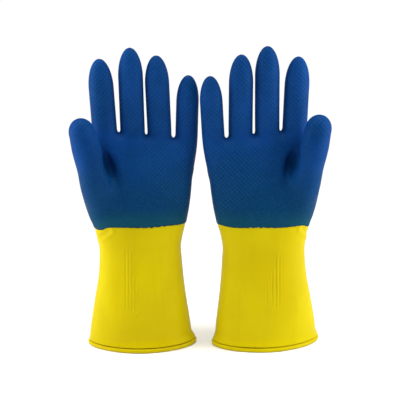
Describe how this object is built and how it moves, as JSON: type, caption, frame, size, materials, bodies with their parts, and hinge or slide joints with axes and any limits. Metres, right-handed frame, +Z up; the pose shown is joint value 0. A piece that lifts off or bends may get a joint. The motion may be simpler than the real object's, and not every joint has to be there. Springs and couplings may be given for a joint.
{
  "type": "electrical insulating gloves",
  "caption": "Pair of long two-colour rubber gloves, blue neoprene hands over yellow latex cuffs, flock lined, standing upright on their rolled rims.",
  "frame": {"origin": "middle of the pair on the surface that the two rims stand on", "axes": "+Z up towards the fingertips, palms facing -Y, left-hand glove at -X and right-hand glove at +X"},
  "size_m": [0.2622, 0.0914, 0.3184],
  "materials": {
    "blue_neoprene": "satin",
    "yellow_latex": "satin",
    "cotton_flock": "matte"
  },
  "bodies": {
    "left_cuff": {"left_cuff_bead": "yellow_latex", "left_latex_cuff": "yellow_latex"},
    "left_palm": {"left_latex_wrist": "yellow_latex", "left_latex_hand": "yellow_latex", "left_flock_lining": "cotton_flock", "left_neoprene_palm": "blue_neoprene"},
    "left_index_base": {"left_neoprene_index_base": "blue_neoprene"},
    "left_index_middle": {"left_neoprene_index_middle": "blue_neoprene"},
    "left_index_tip": {"left_neoprene_index_tip": "blue_neoprene"},
    "left_middle_base": {"left_neoprene_middle_base": "blue_neoprene"},
    "left_middle_middle": {"left_neoprene_middle_middle": "blue_neoprene"},
    "left_middle_tip": {"left_neoprene_middle_tip": "blue_neoprene"},
    "left_ring_base": {"left_neoprene_ring_base": "blue_neoprene"},
    "left_ring_middle": {"left_neoprene_ring_middle": "blue_neoprene"},
    "left_ring_tip": {"left_neoprene_ring_tip": "blue_neoprene"},
    "left_little_base": {"left_neoprene_little_base": "blue_neoprene"},
    "left_little_middle": {"left_neoprene_little_middle": "blue_neoprene"},
    "left_little_tip": {"left_neoprene_little_tip": "blue_neoprene"},
    "left_thumb_base": {"left_neoprene_thumb_base": "blue_neoprene"},
    "left_thumb_tip": {"left_neoprene_thumb_tip": "blue_neoprene"},
    "right_cuff": {"right_cuff_bead": "yellow_latex", "right_latex_cuff": "yellow_latex"},
    "right_palm": {"right_latex_wrist": "yellow_latex", "right_latex_hand": "yellow_latex", "right_flock_lining": "cotton_flock", "right_neoprene_palm": "blue_neoprene"},
    "right_index_base": {"right_neoprene_index_base": "blue_neoprene"},
    "right_index_middle": {"right_neoprene_index_middle": "blue_neoprene"},
    "right_index_tip": {"right_neoprene_index_tip": "blue_neoprene"},
    "right_middle_base": {"right_neoprene_middle_base": "blue_neoprene"},
    "right_middle_middle": {"right_neoprene_middle_middle": "blue_neoprene"},
    "right_middle_tip": {"right_neoprene_middle_tip": "blue_neoprene"},
    "right_ring_base": {"right_neoprene_ring_base": "blue_neoprene"},
    "right_ring_middle": {"right_neoprene_ring_middle": "blue_neoprene"},
    "right_ring_tip": {"right_neoprene_ring_tip": "blue_neoprene"},
    "right_little_base": {"right_neoprene_little_base": "blue_neoprene"},
    "right_little_middle": {"right_neoprene_little_middle": "blue_neoprene"},
    "right_little_tip": {"right_neoprene_little_tip": "blue_neoprene"},
    "right_thumb_base": {"right_neoprene_thumb_base": "blue_neoprene"},
    "right_thumb_tip": {"right_neoprene_thumb_tip": "blue_neoprene"}
  },
  "joints": [
    {"name": "right_glove_lift", "type": "slide", "parent": "left_cuff", "child": "right_cuff", "axis": [0, 0, 1], "range_m": [0, 0.35]},
    {"name": "left_wrist", "type": "hinge", "parent": "left_cuff", "child": "left_palm", "pos_m": [-0.06842, 0.00615, 0.112], "axis": [0.9934, 0.1149, 0], "range_deg": [-25, 25], "stiffness_Nm_per_rad": 1, "deforming": ["left_latex_hand", "left_flock_lining"]},
    {"name": "left_index_base_joint", "type": "hinge", "parent": "left_palm", "child": "left_index_base", "pos_m": [-0.10061, -0.00814, 0.2405], "axis": [0.9934, 0.1149, 0], "range_deg": [0, 45], "stiffness_Nm_per_rad": 0.02, "deforming": ["left_latex_hand", "left_flock_lining"]},
    {"name": "left_index_middle_joint", "type": "hinge", "parent": "left_index_base", "child": "left_index_middle", "pos_m": [-0.10185, -0.00966, 0.266], "axis": [0.9934, 0.1149, 0], "range_deg": [0, 51.75], "stiffness_Nm_per_rad": 0.02, "deforming": ["left_latex_hand", "left_flock_lining"]},
    {"name": "left_index_tip_joint", "type": "hinge", "parent": "left_index_middle", "child": "left_index_tip", "pos_m": [-0.10276, -0.01078, 0.28479], "axis": [0.9934, 0.1149, 0], "range_deg": [0, 29.25], "stiffness_Nm_per_rad": 0.02, "deforming": ["left_latex_hand", "left_flock_lining"]},
    {"name": "left_middle_base_joint", "type": "hinge", "parent": "left_palm", "child": "left_middle_base", "pos_m": [-0.07156, -0.00473, 0.2405], "axis": [0.9934, 0.1149, 0], "range_deg": [0, 60], "stiffness_Nm_per_rad": 0.02, "deforming": ["left_latex_hand", "left_flock_lining"]},
    {"name": "left_middle_middle_joint", "type": "hinge", "parent": "left_middle_base", "child": "left_middle_middle", "pos_m": [-0.07205, -0.00622, 0.2701], "axis": [0.9934, 0.1149, 0], "range_deg": [0, 69], "stiffness_Nm_per_rad": 0.02, "deforming": ["left_latex_hand", "left_flock_lining"]},
    {"name": "left_middle_tip_joint", "type": "hinge", "parent": "left_middle_middle", "child": "left_middle_tip", "pos_m": [-0.07241, -0.00732, 0.29191], "axis": [0.9934, 0.1149, 0], "range_deg": [0, 39], "stiffness_Nm_per_rad": 0.02, "deforming": ["left_latex_hand", "left_flock_lining"]},
    {"name": "left_ring_base_joint", "type": "hinge", "parent": "left_palm", "child": "left_ring_base", "pos_m": [-0.04515, -0.00126, 0.2395], "axis": [0.9934, 0.1149, 0], "range_deg": [0, 60], "stiffness_Nm_per_rad": 0.02, "deforming": ["left_latex_hand", "left_flock_lining"]},
    {"name": "left_ring_middle_joint", "type": "hinge", "parent": "left_ring_base", "child": "left_ring_middle", "pos_m": [-0.04557, -0.00271, 0.26637], "axis": [0.9934, 0.1149, 0], "range_deg": [0, 69], "stiffness_Nm_per_rad": 0.02, "deforming": ["left_latex_hand", "left_flock_lining"]},
    {"name": "left_ring_tip_joint", "type": "hinge", "parent": "left_ring_middle", "child": "left_ring_tip", "pos_m": [-0.04587, -0.00378, 0.28616], "axis": [0.9934, 0.1149, 0], "range_deg": [0, 39], "stiffness_Nm_per_rad": 0.02, "deforming": ["left_latex_hand", "left_flock_lining"]},
    {"name": "left_little_base_joint", "type": "hinge", "parent": "left_palm", "child": "left_little_base", "pos_m": [-0.01588, 0.00269, 0.2335], "axis": [0.9934, 0.1149, 0], "range_deg": [0, 60], "stiffness_Nm_per_rad": 0.02, "deforming": ["left_latex_hand", "left_flock_lining"]},
    {"name": "left_little_middle_joint", "type": "hinge", "parent": "left_little_base", "child": "left_little_middle", "pos_m": [-0.01535, 0.00144, 0.25482], "axis": [0.9934, 0.1149, 0], "range_deg": [0, 69], "stiffness_Nm_per_rad": 0.02, "deforming": ["left_latex_hand", "left_flock_lining"]},
    {"name": "left_little_tip_joint", "type": "hinge", "parent": "left_little_middle", "child": "left_little_tip", "pos_m": [-0.01496, 0.00052, 0.27053], "axis": [0.9934, 0.1149, 0], "range_deg": [0, 39], "stiffness_Nm_per_rad": 0.02, "deforming": ["left_latex_hand", "left_flock_lining"]},
    {"name": "left_thumb_base_joint", "type": "hinge", "parent": "left_palm", "child": "left_thumb_base", "pos_m": [-0.10677, -0.03396, 0.205], "axis": [-0.4756, -0.8796, 0], "range_deg": [-30, 10], "stiffness_Nm_per_rad": 0.03, "deforming": ["left_latex_hand", "left_flock_lining"]},
    {"name": "left_thumb_tip_joint", "type": "hinge", "parent": "left_thumb_base", "child": "left_thumb_tip", "pos_m": [-0.11049, -0.03333, 0.22449], "axis": [-0.4756, -0.8796, 0], "range_deg": [-42, 14], "stiffness_Nm_per_rad": 0.03, "deforming": ["left_latex_hand", "left_flock_lining"]},
    {"name": "right_wrist", "type": "hinge", "parent": "right_cuff", "child": "right_palm", "pos_m": [0.06637, 0.00622, 0.112], "axis": [0.9966, 0.0819, 0], "range_deg": [-25, 25], "stiffness_Nm_per_rad": 1, "deforming": ["right_latex_hand", "right_flock_lining"]},
    {"name": "right_index_base_joint", "type": "hinge", "parent": "right_palm", "child": "right_index_base", "pos_m": [0.09627, -0.00185, 0.2405], "axis": [0.9966, 0.0819, 0], "range_deg": [0, 45], "stiffness_Nm_per_rad": 0.02, "deforming": ["right_latex_hand", "right_flock_lining"]},
    {"name": "right_index_middle_joint", "type": "hinge", "parent": "right_index_base", "child": "right_index_middle", "pos_m": [0.09689, -0.00318, 0.266], "axis": [0.9966, 0.0819, 0], "range_deg": [0, 51.75], "stiffness_Nm_per_rad": 0.02, "deforming": ["right_latex_hand", "right_flock_lining"]},
    {"name": "right_index_tip_joint", "type": "hinge", "parent": "right_index_middle", "child": "right_index_tip", "pos_m": [0.09735, -0.00415, 0.28479], "axis": [0.9966, 0.0819, 0], "range_deg": [0, 29.25], "stiffness_Nm_per_rad": 0.02, "deforming": ["right_latex_hand", "right_flock_lining"]},
    {"name": "right_middle_base_joint", "type": "hinge", "parent": "right_palm", "child": "right_middle_base", "pos_m": [0.06711, -0.00421, 0.2405], "axis": [0.9966, 0.0819, 0], "range_deg": [0, 60], "stiffness_Nm_per_rad": 0.02, "deforming": ["right_latex_hand", "right_flock_lining"]},
    {"name": "right_middle_middle_joint", "type": "hinge", "parent": "right_middle_base", "child": "right_middle_middle", "pos_m": [0.06685, -0.00566, 0.2701], "axis": [0.9966, 0.0819, 0], "range_deg": [0, 69], "stiffness_Nm_per_rad": 0.02, "deforming": ["right_latex_hand", "right_flock_lining"]},
    {"name": "right_middle_tip_joint", "type": "hinge", "parent": "right_middle_middle", "child": "right_middle_tip", "pos_m": [0.06667, -0.00673, 0.29191], "axis": [0.9966, 0.0819, 0], "range_deg": [0, 39], "stiffness_Nm_per_rad": 0.02, "deforming": ["right_latex_hand", "right_flock_lining"]},
    {"name": "right_ring_base_joint", "type": "hinge", "parent": "right_palm", "child": "right_ring_base", "pos_m": [0.04057, -0.00598, 0.2395], "axis": [0.9966, 0.0819, 0], "range_deg": [0, 60], "stiffness_Nm_per_rad": 0.02, "deforming": ["right_latex_hand", "right_flock_lining"]},
    {"name": "right_ring_middle_joint", "type": "hinge", "parent": "right_ring_base", "child": "right_ring_middle", "pos_m": [0.04032, -0.00739, 0.26637], "axis": [0.9966, 0.0819, 0], "range_deg": [0, 69], "stiffness_Nm_per_rad": 0.02, "deforming": ["right_latex_hand", "right_flock_lining"]},
    {"name": "right_ring_tip_joint", "type": "hinge", "parent": "right_ring_middle", "child": "right_ring_tip", "pos_m": [0.04015, -0.00844, 0.28616], "axis": [0.9966, 0.0819, 0], "range_deg": [0, 39], "stiffness_Nm_per_rad": 0.02, "deforming": ["right_latex_hand", "right_flock_lining"]},
    {"name": "right_little_base_joint", "type": "hinge", "parent": "right_palm", "child": "right_little_base", "pos_m": [0.0113, -0.00782, 0.2335], "axis": [0.9966, 0.0819, 0], "range_deg": [0, 60], "stiffness_Nm_per_rad": 0.02, "deforming": ["right_latex_hand", "right_flock_lining"]},
    {"name": "right_little_middle_joint", "type": "hinge", "parent": "right_little_base", "child": "right_little_middle", "pos_m": [0.01028, -0.00921, 0.25482], "axis": [0.9966, 0.0819, 0], "range_deg": [0, 69], "stiffness_Nm_per_rad": 0.02, "deforming": ["right_latex_hand", "right_flock_lining"]},
    {"name": "right_little_tip_joint", "type": "hinge", "parent": "right_little_middle", "child": "right_little_tip", "pos_m": [0.00954, -0.01023, 0.27053], "axis": [0.9966, 0.0819, 0], "range_deg": [0, 39], "stiffness_Nm_per_rad": 0.02, "deforming": ["right_latex_hand", "right_flock_lining"]},
    {"name": "right_thumb_base_joint", "type": "hinge", "parent": "right_palm", "child": "right_thumb_base", "pos_m": [0.1086, -0.02587, 0.205], "axis": [-0.6388, 0.7694, 0], "range_deg": [-30, 10], "stiffness_Nm_per_rad": 0.03, "deforming": ["right_latex_hand", "right_flock_lining"]},
    {"name": "right_thumb_tip_joint", "type": "hinge", "parent": "right_thumb_base", "child": "right_thumb_tip", "pos_m": [0.11145, -0.02458, 0.22449], "axis": [-0.6388, 0.7694, 0], "range_deg": [-42, 14], "stiffness_Nm_per_rad": 0.03, "deforming": ["right_latex_hand", "right_flock_lining"]}
  ],
  "couplings": [
    {"joint": "left_index_middle_joint", "follows": "left_index_base_joint", "ratio": 1.15},
    {"joint": "left_index_tip_joint", "follows": "left_index_base_joint", "ratio": 0.65},
    {"joint": "left_middle_middle_joint", "follows": "left_middle_base_joint", "ratio": 1.15},
    {"joint": "left_middle_tip_joint", "follows": "left_middle_base_joint", "ratio": 0.65},
    {"joint": "left_ring_middle_joint", "follows": "left_ring_base_joint", "ratio": 1.15},
    {"joint": "left_ring_tip_joint", "follows": "left_ring_base_joint", "ratio": 0.65},
    {"joint": "left_little_middle_joint", "follows": "left_little_base_joint", "ratio": 1.15},
    {"joint": "left_little_tip_joint", "follows": "left_little_base_joint", "ratio": 0.65},
    {"joint": "left_thumb_tip_joint", "follows": "left_thumb_base_joint", "ratio": 1.4},
    {"joint": "right_index_middle_joint", "follows": "right_index_base_joint", "ratio": 1.15},
    {"joint": "right_index_tip_joint", "follows": "right_index_base_joint", "ratio": 0.65},
    {"joint": "right_middle_middle_joint", "follows": "right_middle_base_joint", "ratio": 1.15},
    {"joint": "right_middle_tip_joint", "follows": "right_middle_base_joint", "ratio": 0.65},
    {"joint": "right_ring_middle_joint", "follows": "right_ring_base_joint", "ratio": 1.15},
    {"joint": "right_ring_tip_joint", "follows": "right_ring_base_joint", "ratio": 0.65},
    {"joint": "right_little_middle_joint", "follows": "right_little_base_joint", "ratio": 1.15},
    {"joint": "right_little_tip_joint", "follows": "right_little_base_joint", "ratio": 0.65},
    {"joint": "right_thumb_tip_joint", "follows": "right_thumb_base_joint", "ratio": 1.4}
  ]
}
